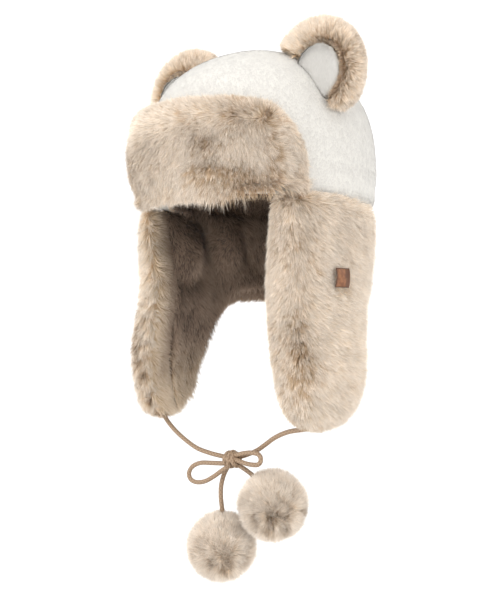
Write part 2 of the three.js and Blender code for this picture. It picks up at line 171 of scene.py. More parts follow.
def soft_copy(node, grain, passes, kept=1.0):
    """A CAD node's form as one even, softened skin. Grain is the size of its faces, in metres, and kept the
    share of them that stays."""
    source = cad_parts[node]
    form = bmesh.new()
    form.from_mesh(source.data)
    form.transform(source.matrix_world)
    bmesh.ops.remove_doubles(form, verts=form.verts, dist=1e-5)
    scratch = bpy.data.objects.new(node + "_form", mesh_of(form, node + "_form"))
    bpy.context.scene.collection.objects.link(scratch)
    even = scratch.modifiers.new("even", "REMESH")
    even.mode = "VOXEL"
    even.voxel_size = grain
    even.use_smooth_shade = True
    soft = scratch.modifiers.new("soft", "SMOOTH")
    soft.factor = 0.5
    soft.iterations = passes
    if kept < 1:
        fewer = scratch.modifiers.new("fewer", "DECIMATE")
        fewer.ratio = kept
    return finished_mesh(scratch)


def read_points(mesh):
    points = np.empty(len(mesh.vertices) * 3)
    mesh.vertices.foreach_get("co", points)
    return points.reshape(-1, 3)


def read_normals(mesh):
    normals = np.empty(len(mesh.vertices) * 3, np.float32)
    mesh.vertex_normals.foreach_get("vector", normals)
    return normals.reshape(-1, 3).astype(float)


def move_points(mesh, points):
    mesh.vertices.foreach_set("co", points.ravel())
    mesh.update()


def unit(vectors):
    """Each vector at length 1."""
    return vectors / np.maximum(np.linalg.norm(vectors, axis=-1, keepdims=True), 1e-9)


def along_skin(vectors, normals):
    """What is left of each vector along the skin."""
    return vectors - normals * (vectors * normals).sum(1, keepdims=True)


def ease(low, high, values):
    """A soft step from 0 at low to 1 at high."""
    t = np.clip((values - low) / (high - low), 0, 1)
    return t * t * (3 - 2 * t)


def wander(points, wavelength, seed):
    """A smooth direction that wanders over the given wavelength, as pile strays where it was handled."""
    rng = np.random.default_rng(seed)
    waves = rng.normal(size=(6, 3)) * 2 * math.pi / wavelength * 0.6
    shifts = rng.uniform(0, 2 * math.pi, (6, 3))
    phase = points @ waves.T
    return np.sin(phase[:, :, None] + shifts[None]).sum(1) / 2.4


def around_head(points):
    """For each point, the outward direction of the head's oval, the direction towards the back along it on
    the point's own side, and its angle from the front in degrees."""
    flat = points * [1 / HEAD_HALF_WIDTH**2, 1 / HEAD_HALF_DEPTH**2, 0]
    outward = unit(flat)
    side = np.where(points[:, :1] < 0, -1.0, 1.0)
    backward = np.stack([-outward[:, 1], outward[:, 0], 0 * outward[:, 0]], 1) * side
    angle = np.degrees(
        np.arctan2(np.abs(points[:, 0]) / HEAD_HALF_WIDTH, -points[:, 1] / HEAD_HALF_DEPTH)
    )
    return outward, backward, angle


def facing_out(points, normals):
    """How far each face looks away from the head: 1 straight out, -1 straight in."""
    outward, _, _ = around_head(points)
    return (normals * outward).sum(1)


def everywhere(points, normals):
    return np.ones(len(points))


# Pile: each fibre is one thin tapered blade, and all of a piece's fibres are one mesh


def scatter(skin, count, density, rng):
    """Draws roots on a skin, by area and by density(points, normals), a share from 0 to 1."""
    skin.calc_loop_triangles()
    corners = np.empty(len(skin.loop_triangles) * 3, np.int32)
    skin.loop_triangles.foreach_get("vertices", corners)
    corners = corners.reshape(-1, 3)
    points, normals = read_points(skin), read_normals(skin)
    a, b, c = (points[corners[:, k]] for k in range(3))
    area = np.linalg.norm(np.cross(b - a, c - a), axis=1)
    weight = area * density((a + b + c) / 3, unit(normals[corners].mean(1)))
    picked = corners[rng.choice(len(corners), count, p=weight / weight.sum())]
    spread = np.sqrt(rng.uniform(size=(count, 1)))
    slide = rng.uniform(size=(count, 1))
    shares = np.concatenate([1 - spread, spread * (1 - slide), spread * slide], 1)
    roots = (points[picked] * shares[:, :, None]).sum(1)
    return roots, unit((normals[picked] * shares[:, :, None]).sum(1))


def gather_locks(roots, tips, lock_size, pull, rng):
    """Draws the fibres together at their tips, in locks of about lock_size fibres."""
    guides = rng.choice(len(roots), max(len(roots) // lock_size, 1), replace=False)
    tree = tree_of(roots[guides])
    nearest = guides[[tree.find(root)[1] for root in roots]]
    tips += (tips[nearest] - tips) * pull * rng.uniform(0.4, 1.0, (len(roots), 1))
    return nearest


def trim(roots, tips, form, margin, rng):
    """Cuts fibres back where they reach out of the piece's form by more than their margins."""
    reach = np.zeros(len(tips))
    for k, tip in enumerate(tips):
        tip = Vector(tip)
        spot, normal, _, distance = form.find_nearest(tip)
        if (tip - spot).dot(normal) > 0:
            reach[k] = distance
    over = np.maximum(reach - margin * rng.uniform(0.2, 1.9, len(tips)), 0)
    long = np.linalg.norm(tips - roots, axis=1)
    return roots + (tips - roots) * np.clip(1 - over / long, 0.3, 1)[:, None]


def blades_mesh(name, roots, tips, across, facing, tone, base, seen):
    """One mesh of all blades, with each blade's own tone, its height from root to tip, and a flat map.
    facing is the normal that each is shaded with, base the height at which it starts, and seen how much of
    the rest it reaches."""
    count = len(roots)
    points = np.stack([roots - across, roots + across, tips], 1)
    mesh = bpy.data.meshes.new(name)
    mesh.vertices.add(count * 3)
    mesh.vertices.foreach_set("co", points.ravel())
    mesh.loops.add(count * 3)
    mesh.loops.foreach_set("vertex_index", np.arange(count * 3, dtype=np.int32))
    mesh.polygons.add(count)
    mesh.polygons.foreach_set("loop_start", np.arange(0, count * 3, 3, dtype=np.int32))
    mesh.update(calc_edges=True)
    height = mesh.attributes.new("height", "FLOAT", "POINT")
    height.data.foreach_set("value", (base + seen[:, None] * [0, 0, 1 - base]).astype(np.float32).ravel())
    tones = mesh.attributes.new("tone", "FLOAT", "POINT")
    tones.data.foreach_set("value", np.repeat(tone, 3).astype(np.float32))
    side = math.ceil(math.sqrt(count))
    cell = np.stack([np.arange(count) % side, np.arange(count) // side], 1)[:, None]
    layer = mesh.uv_layers.new(name="OFBake")
    corner = np.array([[0.1, 0.1], [0.9, 0.1], [0.5, 0.9]])
    layer.data.foreach_set("uv", ((cell + corner) / side).astype(np.float32).ravel())
    mesh.normals_split_custom_set_from_vertices(np.repeat(facing, 3, 0))
    return mesh


def grow_pile(name, skin, slot, material, count, length, width, comb, **look):
    """Grows pile on a skin. comb(roots, normals) gives the lie as vectors along the skin and how flat each
    fibre lies, from 0 to 1. look may hold density, length_share, form and margin to trim to, lock_size,
    pull, stray, the share of loose hairs, base, opened, even, light and seed. Where the pile stands steeper
    than opened, some locks are cut shorter and take only the darker, lower colours of the ramp along their
    length: painted shade, as if one saw down to the roots. even is how much the fibres are shaded as one
    surface, and light scales their tone, which is painted shade where it darkens them and painted light
    where it lightens them."""
    rng = np.random.default_rng(look.get("seed", 1))
    roots, normals = scatter(skin, count, look.get("density", everywhere), rng)
    lie, flat = comb(roots, normals)
    lie = unit(along_skin(lie, normals))
    opened = np.clip(look.get("opened", 0) - flat, 0, 0.4)
    loose = rng.uniform(size=count) < look.get("loose", 0)
    flat = np.where(loose, flat * 0.4, flat)[:, None]
    share = look.get("length_share", everywhere)(roots, normals)
    long = (length * share * rng.uniform(0.7, 1.08, count))[:, None]
    stray = rng.normal(size=(count, 3)) * look.get("stray", 0.16)
    rising = unit(normals * (1 - flat) + lie * flat + stray)
    tips = roots + rising * long
    pull = np.clip(look.get("pull", 0.4) + 0.6 * (0.7 - flat), 0.05, 0.8)
    lock = gather_locks(roots, tips, look.get("lock_size", 14), pull, rng)
    hidden = rng.uniform(size=count)[lock] < 1.8 * opened
    tips = roots + (tips - roots) * np.where(hidden, 0.8, 1.0)[:, None]
    if "form" in look:
        margin = look.get("margin", lambda points: np.full(len(points), 0.002))(roots)
        tips = trim(roots, tips, look["form"], margin * np.where(loose, 2.2, 1.0), rng)
    turned = normals * rng.normal(size=(count, 1)) * 0.35 * (1 - look.get("even", 0))
    guard = np.where(rng.uniform(size=(count, 1)) < 0.2, 1.6, 0.8)
    across = unit(np.cross(rising, normals + stray) + turned) * width * 0.5 * guard
    lock_tone = rng.uniform(size=count)[lock]
    tone = 0.5 * lock_tone + 0.35 * rng.uniform(size=count) + 0.15 * (guard[:, 0] > 1)
    # Hidden locks are coloured from the lower, darker part of the ramp: painted shade
    seen = np.where(hidden, rng.uniform(0.2, 0.62, count), 1.0)
    even = np.maximum(flat, look.get("even", 0))
    facing = unit(unit(np.cross(across, tips - roots)) * (1 - even) + normals * even)
    tone = tone * look.get("light", everywhere)(roots, normals)
    mesh = blades_mesh(name, roots, tips, across, facing, tone, look.get("base", 0.0), seen)
    return new_piece(name, mesh, material)


# Finishes


def pile_material(name, colours, contrast, sheen, patch=None, painted_light=None):
    """Pile is dyed through, but it reads darker at its roots, where light is lost, and palest at its tips.
    colours are root, body and tip. The last argument gives paler colours, painted light where the pile
    would catch more light, and the places where they are painted: each is a direction, and two limits along
    it between which the colours pass over."""
    material, tree, shader = new_material(name, 0.9, sheen)
    height = add_node(tree, "ShaderNodeAttribute", attribute_name="height")
    place = add_node(tree, "ShaderNodeTexCoord")

    def ramp_of(shades):
        ramp = add_node(tree, "ShaderNodeValToRGB", links={"Fac": height.outputs["Fac"]})
        stops = ramp.color_ramp.elements
        stops[0].color, stops[1].color = linear(shades[0]), linear(shades[2])
        stops.new(0.45).color = linear(shades[1])
        return ramp.outputs["Color"]

    colour = ramp_of(colours)
    if painted_light:
        opens = []
        for limit in painted_light["places"]:
            along = add_node(
                tree, "ShaderNodeVectorMath", operation="DOT_PRODUCT", links={0: place.outputs["Object"]}
            )
            along.inputs[1].default_value = limit["direction"]
            passed = add_node(
                tree, "ShaderNodeMapRange", links={"Value": along.outputs["Value"]},
                From_Min=limit["low"], From_Max=limit["high"], interpolation_type="SMOOTHSTEP",
            )
            opens.append(passed.outputs["Result"])
        most = add_node(tree, "ShaderNodeMath", operation="MAXIMUM", links={0: opens[0], 1: opens[1]})
        blend = add_node(tree, "ShaderNodeMix", data_type="RGBA", links={0: most.outputs["Value"]})
        tree.links.new(colour, blend.inputs[6])
        tree.links.new(ramp_of(painted_light["colours"]), blend.inputs[7])
        colour = blend.outputs[2]
    tone = add_node(tree, "ShaderNodeAttribute", attribute_name="tone")
    strength = add_node(
        tree, "ShaderNodeMapRange", links={"Value": tone.outputs["Fac"]},
        To_Min=1 - contrast, To_Max=1 + contrast * 0.6,
    ).outputs["Result"]
    if patch:
        noise = add_node(
            tree, "ShaderNodeTexNoise", links={"Vector": place.outputs["Object"]},
            Scale=1 / patch["size"], Detail=2.0, Roughness=0.55,
        )
        worn = add_node(
            tree, "ShaderNodeMapRange", links={"Value": noise.outputs["Fac"]},
            From_Min=0.3, From_Max=0.7, To_Min=1 - patch["depth"], To_Max=1 + patch["depth"] * 0.4,
        )
        both = add_node(
            tree, "ShaderNodeMath", operation="MULTIPLY", links={0: strength, 1: worn.outputs["Result"]}
        )
        strength = both.outputs["Value"]
    toned = add_node(
        tree, "ShaderNodeVectorMath", operation="SCALE", links={"Vector": colour, "Scale": strength}
    )
    tree.links.new(toned.outputs["Vector"], shader.inputs["Base Color"])
    return material


def two_tone(tree, source, low, high, positions=(0.0, 1.0)):
    """A colour that passes from low to high between two values of its source."""
    ramp = add_node(tree, "ShaderNodeValToRGB", links={"Fac": source})
    for stop, colour, position in zip(ramp.color_ramp.elements, (low, high), positions):
        stop.color = colour
        stop.position = position
    return ramp.outputs["Color"]


def cover(tree, shader, colour, height, strength, depth):
    """Gives a material its colour, and a relief of the given depth in metres."""
    bump = add_node(tree, "ShaderNodeBump", links={"Height": height}, Strength=strength, Distance=depth)
    tree.links.new(colour, shader.inputs["Base Color"])
    tree.links.new(bump.outputs["Normal"], shader.inputs["Normal"])


def backing_material(name, colour, grain, mottling=0.28):
    """Knitted backing cloth under the pile: seen only between the roots, as a rough, mottled ground."""
    material, tree, shader = new_material(name, 0.95)
    place = add_node(tree, "ShaderNodeTexCoord")
    noise = add_node(
        tree, "ShaderNodeTexNoise", links={"Vector": place.outputs["Object"]}, Scale=1 / grain, Detail=3.0
    )
    dark = [c * (1 - mottling) for c in linear(colour)[:3]] + [1]
    mottled = two_tone(tree, noise.outputs["Fac"], dark, linear(colour))
    cover(tree, shader, mottled, noise.outputs["Fac"], strength=0.3, depth=0.0006)
    return material


# Root, body and tip of each pile
BEIGE = ("#b8926a", "#e1caac", "#f6ebde")
WHITE = ("#c4c0b9", "#ccc9c3", "#d2cfca")
# The lining's own taupe, darkened as painted shade for the hollow
TAUPE = ("#5c4a3e", "#947d6b", "#b5a08c")
# Painted light on the lining: paler colours towards the face, and low in the flaps
TAUPE_PAINTED_LIGHT = ("#a98965", "#d2bb9d", "#eadcc9")
TAUPE_PAINTED_LIGHT_PLACES = [
    {"direction": (0, -1, 0), "low": 0.046, "high": 0.082},
    {"direction": (0, 0, -1), "low": 0.115, "high": 0.205},
]

beige_pile = pile_material(
    "acrylic_faux_fur_beige", BEIGE, contrast=0.32, sheen=0.15, patch={"size": 0.03, "depth": 0.07}
)
white_pile = pile_material("acrylic_plush_white", WHITE, contrast=0.10, sheen=0.3)
# The lining's plush is painted paler towards the face and low in the flaps, one colour with the fur at the
# flaps' rims, and darker into the hollow: painted light and painted shade over its taupe.
taupe_pile = pile_material(
    "polyester_plush_taupe", TAUPE, contrast=0.14, sheen=0.1, patch={"size": 0.03, "depth": 0.08},
    painted_light={"colours": TAUPE_PAINTED_LIGHT, "places": TAUPE_PAINTED_LIGHT_PLACES},
)
beige_backing = backing_material("knitted_backing_beige", "#c9ae90", 0.004)
white_backing = backing_material("knitted_backing_white", "#d3d0c9", 0.003, mottling=0.04)
taupe_backing = backing_material("knitted_backing_taupe", "#645346", 0.004)


def braided_cord():
    """Waxed polyester cord, braided round. Its strands go round it both ways and cross in chevrons."""
    # Pairs of strands, and the metres in which one climbs once round the cord
    pairs, climb_length = 4, 0.016
    material, tree, shader = new_material("braided_polyester_cord", 0.62)
    place = add_node(tree, "ShaderNodeUVMap", uv_map="braid")
    split = add_node(tree, "ShaderNodeSeparateXYZ", links={"Vector": place.outputs["UV"]})
    strands = []
    for slope in (1.0, -1.0):
        turn = add_node(tree, "ShaderNodeMath", operation="MULTIPLY", links={0: split.outputs["X"]})
        turn.inputs[1].default_value = pairs
        climb = add_node(
            tree, "ShaderNodeMath", operation="MULTIPLY_ADD",
            links={0: split.outputs["Y"], 2: turn.outputs["Value"]},
        )
        climb.inputs[1].default_value = slope / climb_length * pairs
        wave = add_node(tree, "ShaderNodeMath", operation="PINGPONG", links={0: climb.outputs["Value"]})
        wave.inputs[1].default_value = 0.5
        strands.append(wave.outputs["Value"])
    weave = add_node(
        tree, "ShaderNodeMath", operation="MAXIMUM", links={0: strands[0], 1: strands[1]}
    ).outputs["Value"]
    # The colour follows the weave's relief: darker where the strands dip between each other, as painted
    # shade in the grooves
    colour = two_tone(tree, weave, linear("#66503c"), linear("#a88e74"), positions=(0.0, 0.5))
    cover(tree, shader, colour, weave, strength=0.6, depth=0.0006)
    return material


def tab_leather():
    """Vegetable-tanned leather, oiled and worn: fine pebbled grain, darkened by wear at its edges, and
    darker over its folded-back part as painted shade of the fold.
    """
    material, tree, shader = new_material("vegetable_tanned_leather", 0.55)
    place = add_node(tree, "ShaderNodeTexCoord")
    grain = add_node(
        tree, "ShaderNodeTexVoronoi", links={"Vector": place.outputs["Object"]}, Scale=1 / 0.0009
    )
    mottle = add_node(
        tree, "ShaderNodeTexNoise", links={"Vector": place.outputs["Object"]}, Scale=1 / 0.004, Detail=3.0
    )
    oiled = two_tone(
        tree, mottle.outputs["Fac"], linear("#6f4328"), linear("#94633f"), positions=(0.35, 0.65)
    )
    # The attribute holds real wear at the edges and painted shade on the folded-back part
    wear_and_fold_shade = add_node(tree, "ShaderNodeAttribute", attribute_name="wear_and_fold_shade")
    edge_wear_and_fold_shade = add_node(tree, "ShaderNodeMix", data_type="RGBA", links={0: wear_and_fold_shade.outputs["Fac"]})
    tree.links.new(oiled, edge_wear_and_fold_shade.inputs[6])
    edge_wear_and_fold_shade.inputs[7].default_value = linear("#4a2b17")
    cover(tree, shader, edge_wear_and_fold_shade.outputs[2], grain.outputs["Distance"], strength=0.4, depth=0.0003)
    return material


cord_finish = braided_cord()
leather_finish = tab_leather()


# Cord and bow: routes chosen, in metres

KNOT_PLACE = Vector((0, -0.046, -0.245))

CORD_ROUTES = {
    "chin_cord_right": [
        (-0.095, -0.047, -0.199), (-0.0915, -0.048, -0.208), (-0.083, -0.048, -0.217),
        (-0.071, -0.048, -0.2255), (-0.057, -0.048, -0.233), (-0.043, -0.048, -0.2385),
        (-0.027, -0.046, -0.242), (-0.014, -0.045, -0.2435), (-0.002, -0.045, -0.245),
    ],
    "chin_cord_left": [
        (0.104, -0.044, -0.200), (0.097, -0.046, -0.2075), (0.085, -0.047, -0.2105),
        (0.072, -0.047, -0.213), (0.060, -0.046, -0.217), (0.049, -0.044, -0.222),
        (0.038, -0.042, -0.2285), (0.027, -0.0415, -0.235), (0.014, -0.043, -0.2405),
        (0.002, -0.045, -0.244),
    ],
    "bow_loop_right": [
        (-0.001, -0.047, -0.249), (-0.012, -0.048, -0.250), (-0.025, -0.0485, -0.2508),
        (-0.039, -0.049, -0.252), (-0.0495, -0.0495, -0.2565), (-0.0545, -0.0495, -0.2635),
        (-0.052, -0.0495, -0.2695), (-0.044, -0.0495, -0.2715), (-0.033, -0.0495, -0.2695),
        (-0.022, -0.049, -0.264), (-0.012, -0.0485, -0.2575), (-0.002, -0.0475, -0.251),
    ],
    "bow_loop_left": [
        (0.001, -0.047, -0.2415), (0.010, -0.049, -0.2395), (0.020, -0.0505, -0.2370),
        (0.029, -0.0515, -0.2357), (0.0365, -0.052, -0.2359), (0.0403, -0.0523, -0.2376),
        (0.0418, -0.0525, -0.2411), (0.0402, -0.0525, -0.2446), (0.0364, -0.0523, -0.2464),
        (0.028, -0.052, -0.2468), (0.019, -0.051, -0.2462), (0.010, -0.0495, -0.2448),
        (0.002, -0.0475, -0.2435),
    ],
    "tail_cord_right": [
        (-0.003, -0.044, -0.248), (-0.010, -0.040, -0.253), (-0.0155, -0.0405, -0.262),
        (-0.017, -0.043, -0.273), (-0.0155, -0.045, -0.284), (-0.013, -0.046, -0.295),
        (-0.013, -0.046, -0.305),
    ],
    "tail_cord_left": [
        (0.004, -0.045, -0.249), (0.013, -0.043, -0.2535), (0.021, -0.040, -0.259),
        (0.029, -0.036, -0.2655), (0.034, -0.033, -0.272),
    ],
}


def smooth_route(points, step):
    """Even points on one smooth curve through the chosen ones."""
    dense = []
    points = [np.array(point) for point in points]
    padded = [2 * points[0] - points[1], *points, 2 * points[-1] - points[-2]]
    for p0, p1, p2, p3 in zip(padded, padded[1:], padded[2:], padded[3:]):
        for t in np.linspace(0, 1, 24, endpoint=False):
            bend = (2 * p0 - 5 * p1 + 4 * p2 - p3) * t**2
            dense.append(0.5 * (2 * p1 + (p2 - p0) * t + bend + (3 * p1 - 3 * p2 + p3 - p0) * t**3))
    dense = np.array(dense + [padded[-2]])
    run = np.concatenate([[0], np.cumsum(np.linalg.norm(np.diff(dense, axis=0), axis=1))])
    even = np.linspace(0, run[-1], max(round(run[-1] / step), 6) + 1)
    return np.stack([np.interp(even, run, dense[:, k]) for k in range(3)], 1), run[-1]


def cord_mesh(name, path, radius, closed=False):
    """A round cord swept along a path, with a map whose X goes once round and whose Y is metres along."""
    sides = 12
    path = np.asarray(path, float)
    ahead = unit(np.roll(path, -1, 0) - np.roll(path, 1, 0))
    if not closed:
        ahead[0] = unit(path[1] - path[0])
        ahead[-1] = unit(path[-1] - path[-2])
    form = bmesh.new()
    rings = []
    normal = Vector(ahead[0]).orthogonal().normalized()
    for place, heading in zip(path, ahead):
        heading = Vector(heading)
        normal = (normal - heading * normal.dot(heading)).normalized()
        turn = Matrix((normal, heading.cross(normal), heading)).transposed().to_4x4()
        made = bmesh.ops.create_circle(
            form, segments=sides, radius=radius, matrix=Matrix.Translation(place) @ turn
        )
        rings.append(made["verts"])
    run = np.concatenate([[0], np.cumsum(np.linalg.norm(np.diff(path, axis=0), axis=1))])
    layer = form.loops.layers.uv.new("braid")
    pairs = list(zip(range(len(rings)), range(1, len(rings))))
    if closed:
        pairs.append((len(rings) - 1, 0))
    for low, high in pairs:
        for k in range(sides):
            j = (k + 1) % sides
            face = form.faces.new((rings[low][k], rings[low][j], rings[high][j], rings[high][k]))
            face.smooth = True
            top = run[high] if high else run[-1] + np.linalg.norm(path[0] - path[-1])
            marks = [(k, run[low]), (k + 1, run[low]), (k + 1, top), (k, top)]
            for loop, (step, length) in zip(face.loops, marks):
                loop[layer].uv = (step / sides, length)
    if not closed:
        form.faces.new(list(reversed(rings[0])))
        form.faces.new(rings[-1])
    bmesh.ops.recalc_face_normals(form, faces=form.faces)
    return mesh_of(form, name)


def make_knot():
    """The bow's knot: three turns of cord and one across them, drawn tight."""
    turns = [
        {"offset": -0.0050, "lean": 10, "radius": 0.0060, "axis": "X"},
        {"offset": 0.0002, "lean": 6, "radius": 0.0070, "axis": "X"},
        {"offset": 0.0050, "lean": -12, "radius": 0.0060, "axis": "X"},
        {"offset": 0.0, "lean": 14, "radius": 0.0062, "axis": "Z"},
    ]
    whole = bmesh.new()
    for turn in turns:
        angles = np.linspace(0, 2 * math.pi, 28, endpoint=False)
        ring = [Vector((0, math.cos(t) * 0.88, math.sin(t))) * turn["radius"] for t in angles]
        if turn["axis"] == "Z":
            ring = [Matrix.Rotation(math.radians(90), 3, "Y") @ p for p in ring]
        lean = Matrix.Rotation(math.radians(turn["lean"]), 3, "Y")
        path = [KNOT_PLACE + lean @ p + Vector((turn["offset"], 0, 0)) for p in ring]
        part = cord_mesh("turn", path, CORD_DIAMETER / 2 * 0.98, closed=True)
        whole.from_mesh(part)
        bpy.data.meshes.remove(part)
    knot = new_piece("tied_knot", mesh_of(whole, "tied_knot"), cord_finish)
    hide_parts("bow_knot")
    return knot


def make_cord(name):
    """One stretch of the cord."""
    path, length = smooth_route(CORD_ROUTES[name], CORD_DIAMETER * 0.55)
    piece = new_piece(name + "_braid", cord_mesh(name, path, CORD_DIAMETER / 2), cord_finish)
    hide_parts(name)


knot = make_knot()


# Skins of the furred pieces


def outline_of(mesh):
    """The skin before it is sunk, to which the pile is trimmed."""
    faces = [tuple(face.vertices) for face in mesh.polygons]
    return BVHTree.FromPolygons(read_points(mesh).tolist(), faces)


def sink(mesh, depth, keeps_top=False):
    """Moves a skin in by depth(points, normals), so that the pile fills the form again. A skin that keeps
    its top moves sideways there, not down."""
    points, normals = read_points(mesh), read_normals(mesh)
    inward = -normals
    if keeps_top:
        inward[:, 2] = np.maximum(inward[:, 2], 0)
        inward = unit(inward) * ease(0.1, 0.4, np.linalg.norm(inward, axis=1))[:, None]
    move_points(mesh, points + inward * depth(points, normals)[:, None])


def furred_side(points, normals):
    """1 on a flap's or the nape's outer faces and edges, 0 on the face that the lining covers."""
    return ease(-0.75, -0.2, facing_out(points, normals))


def brim_depth(points, normals):
    downward = ease(0.2, 0.7, -normals[:, 2])
    return 0.008 * ease(-0.9, -0.2, facing_out(points, normals)) * (1 - 0.75 * downward)


def crown_depth(points, normals):
    return 0.0015 * ease(-0.5, 0.3, facing_out(points, normals) + normals[:, 2])


EAR_DEPTH = 0.0055


def ear_right_depth(points, normals):
    """The wearer's right ear shows more of its disc, so its ring is thinner round the disc."""
    low, high = box_of("ear_inner_right")
    inward = unit(((low + high) / 2 - points) * [1, 0, 1])
    return EAR_DEPTH + 0.0065 * ease(0.1, 0.7, (normals * inward).sum(1)) * (normals[:, 1] < 0.3)


# Every padded skin: its CAD node, slot, grain, smoothing passes and how full its padding is
SKINS = [
    {"node": "flap_skirt", "slot": "beige_fur", "grain": 0.0035, "passes": 14, "fill": 0.7},
    {"node": "front_brim", "slot": "beige_fur", "grain": 0.0035, "passes": 36, "fill": 0.8},
    {"node": "crown_shell", "slot": "white_plush", "grain": 0.004, "passes": 14, "fill": 0.6},
    {"node": "ear_left", "slot": "beige_fur", "grain": 0.0028, "passes": 8, "fill": 0.6},
    {"node": "ear_right", "slot": "beige_fur", "grain": 0.0028, "passes": 8, "fill": 0.6},
]
# How deep each skin sinks below its form, for the pile to fill
SKIN_DEPTHS = {
    "flap_skirt": lambda points, normals: 0.0075 * furred_side(points, normals),
    "front_brim": brim_depth,
    "crown_shell": crown_depth,
    "ear_left": lambda points, normals: np.full(len(points), EAR_DEPTH),
    "ear_right": ear_right_depth,
}
skins = {}
outlines = {}


def calm_dome(mesh, calm):
    """Evens out the crown above its hem, where its pile is short and every bump would show."""
    points, even = read_points(mesh), read_points(calm)
    share = ease(0.012, 0.036, points[:, 2])[:, None]
    move_points(mesh, points * (1 - share) + (even + 0.0022 * read_normals(calm)) * share)
    bpy.data.meshes.remove(calm)


def make_skins():
    for row in SKINS:
        node = row["node"]
        mesh = soft_copy(node, row["grain"], row["passes"])
        if node == "crown_shell":
            calm_dome(mesh, soft_copy(node, row["grain"], passes=90))
        outlines[node] = outline_of(mesh)
        sink(mesh, SKIN_DEPTHS[node], keeps_top=node == "flap_skirt")
        backing = white_backing if row["slot"] == "white_plush" else beige_backing
        skins[node] = new_piece(node + "_backing", mesh, backing)
        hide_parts(node)
    for side in ("left", "right"):
        node = f"ear_inner_{side}"
        mesh = soft_copy(node, grain=0.002, passes=4)
        skins[node] = new_piece(node + "_backing", mesh, white_backing)
        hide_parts(node)


# Soft pads of the lining, on the wearer's right and left alike: angle from the front, height, the two radii
# and how far they stand out
LINING_PADS = [
    {"angle": 76, "height": -0.038, "across": 0.019, "up": 0.030, "stands": 0.012},
    {"angle": 112, "height": -0.026, "across": 0.018, "up": 0.026, "stands": 0.011},
    {"angle": 146, "height": -0.030, "across": 0.022, "up": 0.030, "stands": 0.011},
    {"angle": 180, "height": -0.032, "across": 0.020, "up": 0.028, "stands": 0.007},
    {"angle": 80, "height": -0.120, "across": 0.028, "up": 0.050, "stands": 0.005},
    {"angle": 128, "height": -0.072, "across": 0.022, "up": 0.014, "stands": 0.005},
]
# Creases between the pads, from an upper to a lower point: angles, heights, half-width and depth
LINING_CREASES = [
    {"from": (90, 0.004), "to": (102, -0.080), "width": 0.0045, "depth": 0.012},
    {"from": (118, -0.012), "to": (124, -0.046), "width": 0.0034, "depth": 0.010},
    {"from": (60, -0.072), "to": (96, -0.062), "width": 0.0060, "depth": 0.003},
]
SEAM_HEIGHT = 0.007


def make_lining():
    """The lining stands out towards the head in soft pads and is drawn back at its creases and its seam."""
    mesh = soft_copy("hat_lining", grain=0.0025, passes=4, kept=0.45)
    points, normals = read_points(mesh), read_normals(mesh)
    outward, _, bearing = around_head(points)
    along = np.radians(bearing) * LINING_RADIUS
    height = points[:, 2]
    puff = np.zeros(len(points))
    for pad in LINING_PADS:
        across = (along - math.radians(pad["angle"]) * LINING_RADIUS) / pad["across"]
        up = (height - pad["height"]) / pad["up"]
        puff = np.maximum(puff, pad["stands"] * np.exp(-((across**2 + up**2) ** 1.5)))
    for crease in LINING_CREASES:
        ends = (crease["from"], crease["to"])
        start, end = (np.array([math.radians(angle) * LINING_RADIUS, level]) for angle, level in ends)
        line = end - start
        offset = np.stack([along, height], 1) - start
        share = np.clip(offset @ line / (line @ line), 0, 1)
        distance = np.linalg.norm(offset - share[:, None] * line, axis=1)
        puff -= crease["depth"] * np.exp(-((distance / crease["width"]) ** 2))
    puff -= 0.004 * np.exp(-(((height - SEAM_HEIGHT) / 0.003) ** 2))
    inner = ease(0.2, 0.6, -(normals * outward).sum(1))
    move_points(mesh, points - outward * (np.maximum(puff, -0.0015) * inner)[:, None])
    lining = new_piece("hat_lining_cloth", mesh, taupe_backing)
    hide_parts("hat_lining")
    return lining


make_skins()
lining = make_lining()


# Combing: how the pile lies on each piece

# The flaps' parting: height, angle from the front, half-width in degrees, and how far it opens
FLAP_PARTING = [
    {"height": -0.005, "angle": 60, "spread": 9, "opening": 0.06},
    {"height": -0.037, "angle": 58, "spread": 8, "opening": 0.22},
    {"height": -0.068, "angle": 60, "spread": 7, "opening": 0.16},
    {"height": -0.098, "angle": 61, "spread": 7, "opening": 0.10},
    {"height": -0.116, "angle": 57, "spread": 9, "opening": 0.22},
    {"height": -0.138, "angle": 59, "spread": 11, "opening": 0.25},
    {"height": -0.165, "angle": 59, "spread": 11, "opening": 0.25},
    {"height": -0.190, "angle": 57, "spread": 9, "opening": 0.24},
    {"height": -0.207, "angle": 56, "spread": 9, "opening": 0.10},
]


def read_table(table, key, heights):
    """A column of a table whose rows go down from the top, at each height."""
    rows = table[::-1]
    return np.interp(heights, [row["height"] for row in rows], [row[key] for row in rows])


